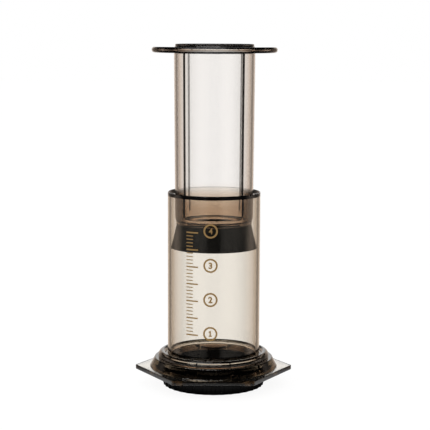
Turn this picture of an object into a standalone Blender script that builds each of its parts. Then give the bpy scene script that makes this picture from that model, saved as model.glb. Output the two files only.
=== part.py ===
"""Piston coffee press, modelled at rest in metres with +Z up.

The press stands on its filter cap at z = 0 and its axis is the Z axis. The four pieces are a
moulded chamber with a hexagonal base flange, a bayonet filter cap, a hollow plunger and the
rubber seal that snaps over the plunger's neck.
"""

import math

import bmesh
import bpy

# Clearances and overruns
CLEARANCE = 0.0003
OVERRUN = 0.0005
WELD = 0.000001

# Filter cap
CAP_FOOT_H = 0.0010
CAP_PLATE_T = 0.0025
CAP_WALL_T = 0.0015
CAP_EDGE_ROUND = 0.0006
GRIP_H = 0.0087
GRIP_W = 0.0006
GRIP_RIB_OUT = 0.0006
GRIP_RIB_W = 0.0020
GRIP_RIB_END = 0.0009
GRIP_RIBS = 36
HOLE_R = 0.00125
HOLE_PITCH = 0.0050
HOLE_EDGE = 0.0020
HOLES_IN_FIRST_RING = 6
HOLE_SIDES = 8
PAPER_T = 0.0001

# Bayonet between the cap and the chamber
BAYONET_COUNT = 5
LUG_T = 0.0022
LUG_GAP = 0.0004
CAP_LUG_T = 0.0025
CHAMBER_LUG_DEG = 34.0
CAP_LUG_DEG = 30.0
WEB_W = 0.0010
WEB_H = 0.0042
STOP_SETBACK = 0.0001

# Chamber
CHAMBER_R = 0.0304
CHAMBER_WALL = 0.0020
CHAMBER_L = 0.1245
MOUTH_H = 0.0026
MOUTH_FLARE = 0.0014
MOUTH_ROUND = 0.0004
POCKET_W = 0.0042
BASE_WALL = 0.0020
LIP_H = 0.0003
HEX_T = 0.0030
HEX_MARGIN = 0.0031
HEX_CORNER_ROUND = 0.0015
HEX_EDGE_ROUND = 0.0004
STEP_H = 0.0060
STEP_W = 0.0027
STEP_FLARE = 0.0026
STEP_ROUND = 0.0008
BEAD_H = 0.0042
BEAD_ROUND = 0.0022
BEAD_DIP = 0.0007
ROOT_FILLET = 0.0009

# Plunger, measured up from the end of its neck
PLUNGER_GAP = 0.0028
PLUNGER_WALL = 0.0020
PLUNGER_DRAFT = 0.0008
TUBE_L = 0.1113
SHOULDER_H = 0.0043
SHOULDER_IN = 0.0008
NECK_L = 0.0132
NECK_IN = 0.0048
NECK_WALL = 0.0020
NECK_FLOOR_T = 0.0020
NECK_BEAD_OUT = 0.0013
NECK_BEAD_H = 0.0020
NECK_END = 0.0010
HOLLOW_FILLET = 0.0052
FLANGE_OUT = 0.01435
FLANGE_T = 0.0038
FLANGE_EDGE_T = 0.0010
FLANGE_EDGE_W = 0.0050
FLANGE_NOSE = 0.0007
COLLAR_H = 0.0019
COLLAR_T = 0.0012
PLUNGER_RIBS = 4
RIB_W = 0.0011
RIB_OUT = 0.0008
RIB_FADE = 0.0040

# Seal, measured up from its underside
PRESS_HEIGHT = 0.0880
SEAL_FLOOR_T = 0.0025
SEAL_LIP_H = 0.0006
SEAL_LIP_UNDERCUT = 0.0015
SEAL_LIP_BACK = 0.0004
SEAL_SETBACK = 0.0002
SEAL_ROUND = 0.0007

# Facets
CHAMBER_SEGMENTS = 56
PLUNGER_SEGMENTS = 48
SEAL_SEGMENTS = 40
CAP_SEGMENTS = 50
LUG_STEPS = 4
ARC_STEPS = 3
SHARP_DEG = 35.0

# Sizes that follow
BORE_R = CHAMBER_R - CHAMBER_WALL
PLATE_TOP_Z = CAP_FOOT_H + CAP_PLATE_T
FOOT_Z = PLATE_TOP_Z + PAPER_T + CLEARANCE
CHAMBER_TOP_Z = FOOT_Z + CHAMBER_L
LIP_Z = GRIP_H + CLEARANCE
HEX_Z = LIP_Z + LIP_H
HEX_TOP_Z = HEX_Z + HEX_T
STEP_TOP_Z = HEX_TOP_Z + STEP_H
BEAD_TOP_Z = STEP_TOP_Z + BEAD_H
SKIRT_R = CHAMBER_R + POCKET_W
BEAD_R = SKIRT_R + BASE_WALL
STEP_TOP_R = BEAD_R + STEP_W
STEP_FOOT_R = STEP_TOP_R + STEP_FLARE
HEX_APOTHEM = STEP_FOOT_R + HEX_MARGIN
CAP_WALL_IN_R = CHAMBER_R + CLEARANCE
CAP_WALL_R = CAP_WALL_IN_R + CAP_WALL_T
GRIP_R = CAP_WALL_R + GRIP_W
CHAMBER_LUG_R = CAP_WALL_R + LUG_GAP
CAP_LUG_R = SKIRT_R - CLEARANCE
LUG_Z = LIP_Z + 2 * LIP_H
LUG_TOP_Z = LUG_Z + LUG_T
CAP_LUG_Z = LUG_TOP_Z + CLEARANCE
CAP_LUG_TOP_Z = CAP_LUG_Z + CAP_LUG_T
POCKET_ROOF_Z = BEAD_TOP_Z - BASE_WALL - CLEARANCE
WEB_Z = POCKET_ROOF_Z - WEB_H
CAP_TOP_Z = WEB_Z - CLEARANCE
TUBE_R = BORE_R - PLUNGER_GAP
TUBE_TOP_R = TUBE_R + PLUNGER_DRAFT
SHOULDER_R = TUBE_R - SHOULDER_IN
NECK_R = SHOULDER_R - NECK_IN
NECK_BEAD_R = NECK_R + NECK_BEAD_OUT
FLANGE_Z = NECK_L + TUBE_L
FLANGE_TOP_Z = FLANGE_Z + FLANGE_T
COLLAR_TOP_Z = FLANGE_TOP_Z + COLLAR_H
FLANGE_R = TUBE_TOP_R + FLANGE_OUT
SEAL_Z = PLATE_TOP_Z + PRESS_HEIGHT
PLUNGER_LIFT = SEAL_FLOOR_T + CLEARANCE
SEAL_TOP_R = SHOULDER_R - SEAL_SETBACK
SEAL_TOP_Z = PLUNGER_LIFT + NECK_L - CLEARANCE
SEAL_LIP_R = BORE_R - CLEARANCE


def clear_scene():
    for thing in list(bpy.data.objects):
        bpy.data.objects.remove(thing, do_unlink=True)


def make_material(name, colour, roughness, transmission=0.0):
    material = bpy.data.materials.new(name)
    material.use_nodes = True
    shader = material.node_tree.nodes["Principled BSDF"]
    shader.inputs["Base Color"].default_value = (*colour, 1.0)
    shader.inputs["Roughness"].default_value = roughness
    shader.inputs["Metallic"].default_value = 0.0
    shader.inputs["Transmission Weight"].default_value = transmission
    material.diffuse_color = (*colour, 1.0)
    return material


def arc(centre_r, centre_z, radius, start_deg, end_deg, steps=ARC_STEPS):
    """Points on an arc of an outline. 0 degrees points outwards and 90 degrees up."""
    points = []
    for i in range(steps + 1):
        angle = math.radians(start_deg + (end_deg - start_deg) * i / steps)
        points.append((centre_r + radius * math.cos(angle), centre_z + radius * math.sin(angle)))
    return points


def finish_mesh(name, bm, material):
    bmesh.ops.recalc_face_normals(bm, faces=bm.faces[:])
    mesh = bpy.data.meshes.new(name)
    bm.to_mesh(mesh)
    bm.free()
    mesh.shade_smooth()
    mesh.set_sharp_from_angle(angle=math.radians(SHARP_DEG))
    if material is not None:
        mesh.materials.append(material)
    obj = bpy.data.objects.new(name, mesh)
    bpy.context.scene.collection.objects.link(obj)
    return obj


def turned(name, outline, segments, material):
    """A solid turned about Z from a closed outline of (radius, height) points."""
    bm = bmesh.new()
    verts = [bm.verts.new((radius, 0, height)) for radius, height in outline]
    edges = []
    for i, vert in enumerate(verts):
        following = verts[(i + 1) % len(verts)]
        if vert.co.x > WELD or following.co.x > WELD:
            edges.append(bm.edges.new((vert, following)))
    bmesh.ops.spin(
        bm,
        geom=verts + edges,
        cent=(0, 0, 0),
        axis=(0, 0, 1),
        angle=2 * math.pi,
        steps=segments,
        use_merge=True,
    )
    bmesh.ops.remove_doubles(bm, verts=bm.verts[:], dist=WELD)
    return finish_mesh(name, bm, material)


def add_sector(bm, inner_r, outer_r, low_z, high_z, centre_deg, width_deg, steps):
    """A closed block between two radii, two heights and two angles."""
    rings = []
    for i in range(steps + 1):
        angle = math.radians(centre_deg - width_deg / 2 + width_deg * i / steps)
        corners = ((inner_r, low_z), (outer_r, low_z), (outer_r, high_z), (inner_r, high_z))
        ring = [
            bm.verts.new((radius * math.cos(angle), radius * math.sin(angle), height))
            for radius, height in corners
        ]
        rings.append(ring)
    for near, far in zip(rings, rings[1:]):
        for i in range(len(near)):
            j = (i + 1) % len(near)
            bm.faces.new((near[i], near[j], far[j], far[i]))
    bm.faces.new(rings[0])
    bm.faces.new(rings[-1])


def add_prism(bm, sections):
    """A closed body lofted through sections of equally many points."""
    rings = [[bm.verts.new(point) for point in section] for section in sections]
    for near, far in zip(rings, rings[1:]):
        for i in range(len(near)):
            j = (i + 1) % len(near)
            bm.faces.new((near[i], near[j], far[j], far[i]))
    bm.faces.new(rings[0])
    bm.faces.new(rings[-1])


def combine(target, helper, operation):
    """Adds or cuts a helper body with a Boolean, and hides the helper."""
    helper.hide_render = True
    helper.display_type = "WIRE"
    helper.parent = target
    boolean = target.modifiers.new(helper.name, "BOOLEAN")
    boolean.operation = operation
    boolean.solver = "EXACT"
    boolean.object = helper


def chamber_outline():
    """From the mouth down the outside, round the base and up the bore."""
    crown_r = BEAD_R - BEAD_ROUND
    crown_z = BEAD_TOP_Z - BEAD_ROUND
    root_z = BEAD_TOP_Z - BEAD_DIP
    points = [(BORE_R + MOUTH_FLARE, CHAMBER_TOP_Z)]
    points += arc(CHAMBER_R - MOUTH_ROUND, CHAMBER_TOP_Z - MOUTH_ROUND, MOUTH_ROUND, 90, 0, 2)
    points += arc(CHAMBER_R + ROOT_FILLET, root_z + ROOT_FILLET, ROOT_FILLET, 180, 270, 2)
    points += arc(crown_r, crown_z, BEAD_ROUND, 110, 0, 4)
    points.append((BEAD_R, STEP_TOP_Z))
    points += arc(STEP_TOP_R - STEP_ROUND, STEP_TOP_Z - STEP_ROUND, STEP_ROUND, 90, 20, 2)
    points.append((STEP_FOOT_R, HEX_TOP_Z))
    points.append((STEP_FOOT_R, HEX_Z + OVERRUN))
    points.append((BEAD_R, HEX_Z + OVERRUN))
    points.append((BEAD_R, LIP_Z))
    points.append((SKIRT_R, LIP_Z))
    points.append((SKIRT_R, POCKET_ROOF_Z))
    points.append((CHAMBER_R, POCKET_ROOF_Z))
    points.append((CHAMBER_R, FOOT_Z))
    points.append((BORE_R, FOOT_Z))
    points.append((BORE_R, CHAMBER_TOP_Z - MOUTH_H))
    return points


def hex_points(radial_trim, height):
    """The flange's rounded hexagon at one height, drawn in by a trim."""
    apothem = HEX_APOTHEM - radial_trim
    corner = HEX_CORNER_ROUND / math.cos(math.radians(30))
    corner_r = apothem / math.cos(math.radians(30)) - corner
    points = []
    for side in range(6):
        middle = 60 * side
        centre_x = corner_r * math.cos(math.radians(middle))
        centre_y = corner_r * math.sin(math.radians(middle))
        for turn in (-30, 0, 30):
            angle = math.radians(middle + turn)
            x = centre_x + HEX_CORNER_ROUND * math.cos(angle)
            y = centre_y + HEX_CORNER_ROUND * math.sin(angle)
            points.append((x, y, height))
    return points


def hex_flange():
    """A hexagonal plate with broken edges and a round hole inside the step."""
    bm = bmesh.new()
    sections = (
        hex_points(HEX_EDGE_ROUND, HEX_Z),
        hex_points(0, HEX_Z + HEX_EDGE_ROUND),
        hex_points(0, HEX_TOP_Z - HEX_EDGE_ROUND),
        hex_points(HEX_EDGE_ROUND, HEX_TOP_Z),
    )
    add_prism(bm, sections)
    plate = finish_mesh("hex_plate", bm, None)
    hole_r = (BEAD_R + STEP_TOP_R) / 2
    hole_outline = [
        (0, HEX_TOP_Z + OVERRUN),
        (hole_r, HEX_TOP_Z + OVERRUN),
        (hole_r, HEX_Z - OVERRUN),
        (0, HEX_Z - OVERRUN),
    ]
    combine(plate, turned("hex_hole", hole_outline, CHAMBER_SEGMENTS, None), "DIFFERENCE")
    return plate


def bayonet_pitch(index):
    """The angle of a bayonet lug's middle. One lies over the back."""
    return 90 + 360 / BAYONET_COUNT * index


def chamber_lugs():
    bm = bmesh.new()
    for i in range(BAYONET_COUNT):
        add_sector(
            bm,
            CHAMBER_LUG_R,
            SKIRT_R + OVERRUN,
            LUG_Z,
            LUG_TOP_Z,
            bayonet_pitch(i),
            CHAMBER_LUG_DEG,
            LUG_STEPS,
        )
    return finish_mesh("chamber_lugs", bm, None)


def web_deg():
    return math.degrees(WEB_W / SKIRT_R)


def pocket_webs():
    """Radial webs that stiffen the hollow bead, at both ends of each bayonet lug."""
    bm = bmesh.new()
    half_pitch = 180 / BAYONET_COUNT
    for i in range(2 * BAYONET_COUNT):
        add_sector(
            bm,
            CHAMBER_R - OVERRUN,
            SKIRT_R + OVERRUN,
            WEB_Z,
            POCKET_ROOF_Z + OVERRUN,
            90 + half_pitch * (i + 0.5),
            web_deg(),
            1,
        )
    return finish_mesh("pocket_webs", bm, None)


def bayonet_stops():
    """The web at one end of each lug runs down to it and stops the cap's lug."""
    bm = bmesh.new()
    half_pitch = 180 / BAYONET_COUNT
    for i in range(BAYONET_COUNT):
        add_sector(
            bm,
            CHAMBER_LUG_R + STOP_SETBACK,
            SKIRT_R + OVERRUN,
            LUG_TOP_Z - OVERRUN,
            WEB_Z + OVERRUN,
            bayonet_pitch(i) + half_pitch / 2 - web_deg() / 2,
            2 * web_deg(),
            1,
        )
    return finish_mesh("bayonet_stops", bm, None)


def make_chamber(material):
    chamber = turned("chamber", chamber_outline(), CHAMBER_SEGMENTS, material)
    combine(chamber, hex_flange(), "UNION")
    combine(chamber, chamber_lugs(), "UNION")
    combine(chamber, pocket_webs(), "UNION")
    combine(chamber, bayonet_stops(), "UNION")
    return chamber


def cap_outline():
    """From the grip's top edge down the outside, under the plate and up the inside."""
    points = [(CAP_WALL_R, GRIP_H)]
    points += arc(GRIP_R - CAP_EDGE_ROUND, GRIP_H - CAP_EDGE_ROUND, CAP_EDGE_ROUND, 90, 0, 2)
    points += arc(GRIP_R - CAP_EDGE_ROUND, CAP_EDGE_ROUND, CAP_EDGE_ROUND, 0, -90, 2)
    points.append((CAP_WALL_IN_R, 0))
    points.append((CAP_WALL_IN_R - CAP_FOOT_H, CAP_FOOT_H))
    points.append((0, CAP_FOOT_H))
    points.append((0, PLATE_TOP_Z))
    points.append((CAP_WALL_IN_R, PLATE_TOP_Z))
    points.append((CAP_WALL_IN_R, CAP_TOP_Z))
    points.append((CAP_WALL_R, CAP_TOP_Z))
    return points


def cap_lugs():
    bm = bmesh.new()
    for i in range(BAYONET_COUNT):
        add_sector(
            bm,
            CAP_WALL_R - OVERRUN,
            CAP_LUG_R,
            CAP_LUG_Z,
            CAP_LUG_TOP_Z,
            bayonet_pitch(i),
            CAP_LUG_DEG,
            LUG_STEPS,
        )
    return finish_mesh("cap_lugs", bm, None)


def cap_grip():
    """Rounded finger ribs round the grip."""
    bm = bmesh.new()
    half = GRIP_RIB_W / 2
    for i in range(GRIP_RIBS):
        angle = 2 * math.pi * i / GRIP_RIBS
        sections = []
        for height, out in (
            (GRIP_RIB_END, -OVERRUN),
            (2 * GRIP_RIB_END, GRIP_RIB_OUT),
            (GRIP_H - 2 * GRIP_RIB_END, GRIP_RIB_OUT),
            (GRIP_H - GRIP_RIB_END, -OVERRUN),
        ):
            side_r = GRIP_R + (out - OVERRUN) / 2
            top_r = GRIP_R + out
            corners = (
                (GRIP_R - 2 * OVERRUN, -half),
                (side_r, -half),
                (top_r, -half / 2),
                (top_r, half / 2),
                (side_r, half),
                (GRIP_R - 2 * OVERRUN, half),
            )
            section = []
            for radius, side in corners:
                x = radius * math.cos(angle) - side * math.sin(angle)
                y = radius * math.sin(angle) + side * math.cos(angle)
                section.append((x, y, height))
            sections.append(section)
        add_prism(bm, sections)
    return finish_mesh("cap_grip", bm, None)


def filter_holes():
    """Straight holes through the plate, in rings that gain six holes each."""
    bm = bmesh.new()
    rings = int((BORE_R - HOLE_EDGE) / HOLE_PITCH)
    places = [(0, 0)]
    for ring in range(1, rings + 1):
        count = HOLES_IN_FIRST_RING * ring
        for i in range(count):
            angle = 2 * math.pi * i / count
            radius = HOLE_PITCH * ring
            places.append((radius * math.cos(angle), radius * math.sin(angle)))
    for x, y in places:
        sections = []
        for height in (CAP_FOOT_H - OVERRUN, PLATE_TOP_Z + OVERRUN):
            section = []
            for i in range(HOLE_SIDES):
                angle = 2 * math.pi * (i + 0.5) / HOLE_SIDES
                section.append((x + HOLE_R * math.cos(angle), y + HOLE_R * math.sin(angle), height))
            sections.append(section)
        add_prism(bm, sections)
    return finish_mesh("filter_holes", bm, None)


def make_cap(material):
    cap = turned("filter_cap", cap_outline(), CAP_SEGMENTS, material)
    combine(cap, cap_lugs(), "UNION")
    combine(cap, cap_grip(), "UNION")
    combine(cap, filter_holes(), "DIFFERENCE")
    return cap


def plunger_outline():
    """From the neck's end up the outside, over the flange and down the hollow."""
    hollow_r = TUBE_R - PLUNGER_WALL
    hollow_top_r = TUBE_TOP_R - PLUNGER_WALL
    neck_in_r = NECK_R - NECK_WALL
    shoulder_z = NECK_L + NECK_WALL
    collar_r = hollow_top_r + COLLAR_T
    edge_z = FLANGE_Z + (FLANGE_T - FLANGE_EDGE_T) / 2
    points = [(0, 0)]
    points.append((NECK_BEAD_R - NECK_END, 0))
    points.append((NECK_BEAD_R, NECK_END))
    points.append((NECK_BEAD_R, NECK_END + NECK_BEAD_H))
    points.append((NECK_R, NECK_END + NECK_BEAD_H + NECK_BEAD_OUT))
    points.append((NECK_R, NECK_L))
    points.append((SHOULDER_R, NECK_L))
    points.append((TUBE_R, NECK_L + SHOULDER_H))
    points.append((TUBE_TOP_R, FLANGE_Z))
    points.append((FLANGE_R - FLANGE_EDGE_W, FLANGE_Z))
    points.append((FLANGE_R - FLANGE_NOSE, edge_z))
    points.append((FLANGE_R, edge_z + FLANGE_EDGE_T / 2))
    points.append((FLANGE_R - FLANGE_NOSE, edge_z + FLANGE_EDGE_T))
    points.append((FLANGE_R - FLANGE_EDGE_W, FLANGE_TOP_Z))
    points.append((collar_r, FLANGE_TOP_Z))
    points += arc(collar_r - COLLAR_T / 2, COLLAR_TOP_Z - COLLAR_T / 2, COLLAR_T / 2, 0, 180, 4)
    points.append((hollow_top_r, FLANGE_Z))
    points += arc(
        hollow_r - HOLLOW_FILLET, shoulder_z + HOLLOW_FILLET, HOLLOW_FILLET, 0, -90, ARC_STEPS
    )
    points.append((neck_in_r, NECK_L))
    points.append((neck_in_r, 2 * NECK_FLOOR_T))
    points.append((neck_in_r - NECK_FLOOR_T, NECK_FLOOR_T))
    points.append((0, NECK_FLOOR_T))
    return points


def plunger_ribs():
    """Guide ribs down the outside, which fade out above the shoulder."""
    bm = bmesh.new()
    low_z = NECK_L + SHOULDER_H
    slope = PLUNGER_DRAFT / (FLANGE_Z - low_z)
    half = RIB_W / 2
    for i in range(PLUNGER_RIBS):
        angle = 2 * math.pi * (i + 0.5) / PLUNGER_RIBS
        sections = []
        for height, out in (
            (low_z, -OVERRUN / 2),
            (low_z + RIB_FADE, RIB_OUT),
            (FLANGE_Z + OVERRUN, RIB_OUT),
        ):
            wall_r = TUBE_R + slope * (height - low_z)
            corners = (
                (wall_r - 2 * OVERRUN, -half),
                (wall_r + out - RIB_OUT / 4, -half),
                (wall_r + out, -half / 2),
                (wall_r + out, half / 2),
                (wall_r + out - RIB_OUT / 4, half),
                (wall_r - 2 * OVERRUN, half),
            )
            section = []
            for radius, side in corners:
                x = radius * math.cos(angle) - side * math.sin(angle)
                y = radius * math.sin(angle) + side * math.cos(angle)
                section.append((x, y, height))
            sections.append(section)
        add_prism(bm, sections)
    return finish_mesh("plunger_ribs", bm, None)


def make_plunger(material, carriage):
    plunger = turned("plunger", plunger_outline(), PLUNGER_SEGMENTS, material)
    combine(plunger, plunger_ribs(), "UNION")
    plunger.parent = carriage
    plunger.location = (0, 0, PLUNGER_LIFT)
    return plunger


def seal_outline():
    """From the underside up the flared wall, over the top and down the snap cavity."""
    cavity_r = NECK_R + CLEARANCE
    groove_r = NECK_BEAD_R + CLEARANCE
    groove_top_z = PLUNGER_LIFT + NECK_END + NECK_BEAD_H + CLEARANCE
    points = [(0, 0)]
    points.append((SEAL_LIP_R - SEAL_LIP_UNDERCUT, 0))
    points.append((SEAL_LIP_R, SEAL_LIP_H))
    points.append((SEAL_LIP_R, 2 * SEAL_LIP_H))
    points.append((SEAL_LIP_R - SEAL_LIP_BACK, 3 * SEAL_LIP_H))
    points.append((SEAL_TOP_R, SEAL_TOP_Z - SEAL_ROUND))
    points.append((SEAL_TOP_R - SEAL_ROUND, SEAL_TOP_Z))
    points.append((cavity_r + SEAL_ROUND, SEAL_TOP_Z))
    points.append((cavity_r, SEAL_TOP_Z - SEAL_ROUND))
    points.append((cavity_r, groove_top_z + NECK_BEAD_OUT))
    points.append((groove_r, groove_top_z))
    points.append((groove_r, SEAL_FLOOR_T))
    points.append((0, SEAL_FLOOR_T))
    return points


def make_seal(material, carriage):
    seal = turned("plunger_seal", seal_outline(), SEAL_SEGMENTS, material)
    seal.parent = carriage
    return seal


def make_carriage():
    """The empty that carries the plunger and its seal along the press stroke."""
    carriage = bpy.data.objects.new("press_carriage", None)
    carriage.location = (0, 0, SEAL_Z)
    bpy.context.scene.collection.objects.link(carriage)
    return carriage


def main():
    clear_scene()
    smoked = make_material("smoked_clear_plastic", (0.62, 0.53, 0.44), 0.05, 0.9)
    clear = make_material("clear_grey_plastic", (0.80, 0.78, 0.75), 0.05, 0.9)
    rubber = make_material("black_rubber", (0.020, 0.021, 0.022), 0.45)
    black = make_material("black_plastic", (0.012, 0.013, 0.014), 0.30)
    carriage = make_carriage()
    make_chamber(smoked)
    make_cap(black)
    make_plunger(clear, carriage)
    make_seal(rubber, carriage)


main()
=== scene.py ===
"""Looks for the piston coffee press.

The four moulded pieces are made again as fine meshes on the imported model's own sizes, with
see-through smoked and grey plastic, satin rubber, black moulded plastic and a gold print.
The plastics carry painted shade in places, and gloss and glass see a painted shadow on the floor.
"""

import math

import bmesh
import bpy
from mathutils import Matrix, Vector


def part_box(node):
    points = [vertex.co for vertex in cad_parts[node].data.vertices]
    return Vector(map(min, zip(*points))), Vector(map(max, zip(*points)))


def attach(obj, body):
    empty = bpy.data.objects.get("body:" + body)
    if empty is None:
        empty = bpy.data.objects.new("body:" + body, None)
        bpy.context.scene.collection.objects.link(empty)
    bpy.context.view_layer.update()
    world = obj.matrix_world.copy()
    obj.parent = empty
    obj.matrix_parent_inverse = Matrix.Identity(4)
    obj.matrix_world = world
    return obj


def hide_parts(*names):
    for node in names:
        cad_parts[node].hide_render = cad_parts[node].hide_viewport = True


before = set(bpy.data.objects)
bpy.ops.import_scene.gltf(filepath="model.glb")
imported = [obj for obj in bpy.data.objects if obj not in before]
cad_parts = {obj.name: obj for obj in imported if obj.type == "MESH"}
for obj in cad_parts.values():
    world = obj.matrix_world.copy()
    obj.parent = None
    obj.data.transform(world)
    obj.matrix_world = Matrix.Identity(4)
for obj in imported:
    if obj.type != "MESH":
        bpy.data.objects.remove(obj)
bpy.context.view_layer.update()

# Places from the frame
CHAMBER_LOW, CHAMBER_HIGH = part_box("chamber")
PLUNGER_LOW, PLUNGER_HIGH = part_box("plunger")
SEAL_LOW, SEAL_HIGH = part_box("plunger_seal")
CAP_TOP_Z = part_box("filter_cap")[1].z
FOOT_Z = CHAMBER_LOW.z
CHAMBER_TOP_Z = CHAMBER_HIGH.z
HEX_APOTHEM = CHAMBER_HIGH.y
PLUNGER_Z = PLUNGER_LOW.z
COLLAR_TOP_Z = PLUNGER_HIGH.z
FLANGE_R = PLUNGER_HIGH.x
SEAL_Z = SEAL_LOW.z
SEAL_TOP_Z = SEAL_HIGH.z
SEAL_LIP_R = SEAL_HIGH.x

# Chamber
CLEARANCE = 0.0003
CHAMBER_R = 0.0304
CHAMBER_WALL = 0.0020
MOUTH_H = 0.0026
MOUTH_FLARE = 0.0014
MOUTH_ROUND = 0.0004
POCKET_W = 0.0042
BASE_WALL = 0.0020
LIP_Z = 0.0090
HEX_Z = 0.0093
HEX_T = 0.0030
HEX_CORNER_ROUND = 0.0015
HEX_HALF_ANGLE = math.radians(30)
HEX_EDGE_ROUND = 0.0004
HEX_EDGE_MIDDLE = 0.3
STEP_H = 0.0060
STEP_TOP_R = 0.0393
STEP_FOOT_R = 0.0419
STEP_ROUND = 0.0008
STEP_END_DEG = 20.0
STEP_FILLET = 0.0005
BEAD_H = 0.0042
BEAD_ROUND = 0.0028
BEAD_DIP = 0.0016
BEAD_START_DEG = 155.0
BEAD_UNDER_DEG = -29.0
ROOT_FILLET = 0.0003
POCKET_ROOF_Z = 0.0202
WEB_Z = 0.0160
WEB_W = 0.0010
LUG_Z = 0.0096
LUG_TOP_Z = 0.0118
CHAMBER_LUG_R = 0.0326
CHAMBER_LUG_DEG = 34.0
BAYONET_COUNT = 5
FIRST_LUG_DEG = 90.0
SINK = 0.0003
BORE_R = CHAMBER_R - CHAMBER_WALL
SKIRT_R = CHAMBER_R + POCKET_W
BEAD_R = SKIRT_R + BASE_WALL
HEX_TOP_Z = HEX_Z + HEX_T
STEP_TOP_Z = HEX_TOP_Z + STEP_H
BEAD_TOP_Z = STEP_TOP_Z + BEAD_H

# Plunger, heights above the end of its neck
TUBE_R = 0.0256
TUBE_TOP_R = 0.0264
PLUNGER_WALL = 0.0020
SHOULDER_R = 0.0248
SHOULDER_H = 0.0043
NECK_L = 0.0132
NECK_R = 0.0200
NECK_WALL = 0.0020
NECK_FLOOR_T = 0.0020
NECK_BEAD_R = 0.0213
NECK_BEAD_H = 0.0020
NECK_END = 0.0010
NECK_END_DEG = 60.0
HOLLOW_FILLET = 0.0012
FLANGE_T = 0.0038
FLANGE_NOSE = 0.0018
FLANGE_LIGHT = 0.0008
COLLAR_H = 0.0019
COLLAR_T = 0.0012
PLUNGER_RIBS = 4
RIB_W = 0.0011
RIB_OUT = 0.0009
RIB_EDGE = 0.00006
RIB_FADE = 0.0040
RIB_TURN_DEG = -1.3
FLANGE_TOP_Z = COLLAR_TOP_Z - PLUNGER_Z - COLLAR_H
FLANGE_Z = FLANGE_TOP_Z - FLANGE_T

# Seal, heights above its underside
SEAL_FLOOR_T = 0.0025
SEAL_LIP_H = 0.0006
SEAL_LIP_UNDERCUT = 0.0015
SEAL_LIP_BACK = 0.0004
SEAL_LIP_MIDDLE = 1.3
SEAL_LIP_DEG = 80.0
SEAL_TOP_R = 0.0246
SEAL_ROUND = 0.0007
LIP_PRESS = 0.0003
PRESS_FIT = 0.00002

# Filter cap
CAP_FOOT_H = 0.0010
CAP_PLATE_T = 0.0025
CAP_WALL_IN_R = 0.0307
CAP_WALL_R = 0.0322
CAP_EDGE_ROUND = 0.0006
CAP_FOOT_ROUND = 0.0003
GRIP_R = 0.0328
GRIP_H = 0.0087
GRIP_RIBS = 36
GRIP_RIB_OUT = 0.0006
GRIP_RIB_FLAT = 0.28
GRIP_RIB_FLANK = 0.34
CAP_LUG_R = 0.0343
CAP_LUG_Z = 0.0121
CAP_LUG_TOP_Z = 0.0146
CAP_LUG_DEG = 30.0
HOLE_R = 0.00125
HOLE_PITCH = 0.0050
HOLE_RINGS = 5
HOLES_A_RING = 6
HOLE_SIDES = 20

# Ends of the grip's ribs: share of their height, at so many rounds of the edge from it
GRIP_TOP_STEPS = ((0.5, 1.5), (1.0, 2.2))
GRIP_FOOT_STEPS = ((1.0, 1.5), (0.8, 0.5))

# Painted shade: places where the plastics are painted darker
BASE_FADE_LOW_Z = 0.0195
BASE_FADE_HIGH_Z = 0.0225
NECK_FADE_LOW_Z = 0.1180
NECK_FADE_HIGH_Z = 0.1330

# Where those places fade: by how far the hexagon's faces tilt up, by how slanted a wall is
# seen, and by height above the wall in parts of a rib's own height
EDGE_TILT = (0.3, 0.6)
SIDE_SLANT = (0.30, 0.46)
BEAD_SLANT = (0.22, 0.45)
RIB_START = (0.25, 0.45)
RIB_END = (2.0, 2.2)
RIB_MIDDLE_Y = 0.01
BACK_RIB_SHARE = 0.80

# Clear plastics: what a surface lets through, and what their depth takes up. A noise is its
# features a metre, its detail and any stretch.
PLASTIC_IOR = 1.54
STREAK_NOISE = (60.0, 2.0, (1, 1, 0.12))
STREAK_SHARE = 0.965
HAZE_NOISE = (240.0, 4.0)
HAZE_SPREAD = (0.45, 0.8)
HAZE_ROUGHNESS = (0.004, 0.05)
SHADOW_SHARE = 0.9
SMOKED_TINT = (0.99, 0.979, 0.960)
SMOKED_DENSITY = 100.0
SMOKED_ABSORBED = (0.70, 0.60, 0.42)
# Painted shade on the chamber: the tube's foot, the skirt and step, the hexagon's upright edge and
# the bead
BORE_SHADE = (0.72, 0.55, 0.42)
SKIRT_SHADE = (0.31, 0.272, 0.252)
EDGE_SHADE = (0.20, 0.19, 0.18)
BEAD_SHADE = (0.05, 0.045, 0.043)
CLEAR_TINT = (0.995, 0.99, 0.985)
CLEAR_DENSITY = 60.0
CLEAR_ABSORBED = (0.80, 0.71, 0.62)
# Painted shade on the plunger: its foot, flange, collar and ribs; at its slanted sides partly its
# deeper wall, partly painted shade
SHOULDER_SHADE = (0.75, 0.635, 0.535)
SIDE_DEPTH_AND_SHADE = (0.15, 0.12, 0.10)
RIM_SHADE = (0.010, 0.013, 0.016)
COLLAR_SHADE = (0.05, 0.046, 0.044)
RIB_SHADE = (0.0016, 0.0014, 0.0012)

# Opaque looks
RUBBER = {
    "cloud": (90.0, 3.0),
    "colours": ((0.007, 0.008, 0.008), (0.013, 0.014, 0.014)),
    "spread": (0.3, 0.7),
    "roughness": (0.42, 0.55),
    "specular": 0.35,
    "grain": (2600.0, 4.0),
    "grain_strength": 0.25,
    "grain_depth": 0.00004,
}
BLACK_PLASTIC = {
    "cloud": (140.0, 4.0),
    "colours": ((0.0008, 0.0009, 0.0010), (0.0025, 0.0028, 0.0031)),
    "spread": (0.35, 0.75),
    "roughness": (0.20, 0.36),
    "specular": 0.15,
    "grain": (3200.0, 5.0),
    "grain_strength": 0.2,
    "grain_depth": 0.00003,
}
GOLD_INK = {
    "cloud": (1500.0, 4.0),
    "colours": ((0.47, 0.285, 0.105), (0.55, 0.34, 0.128)),
    "spread": (0.3, 0.7),
    "roughness": (0.35, 0.5),
    "specular": 0.5,
}

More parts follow.
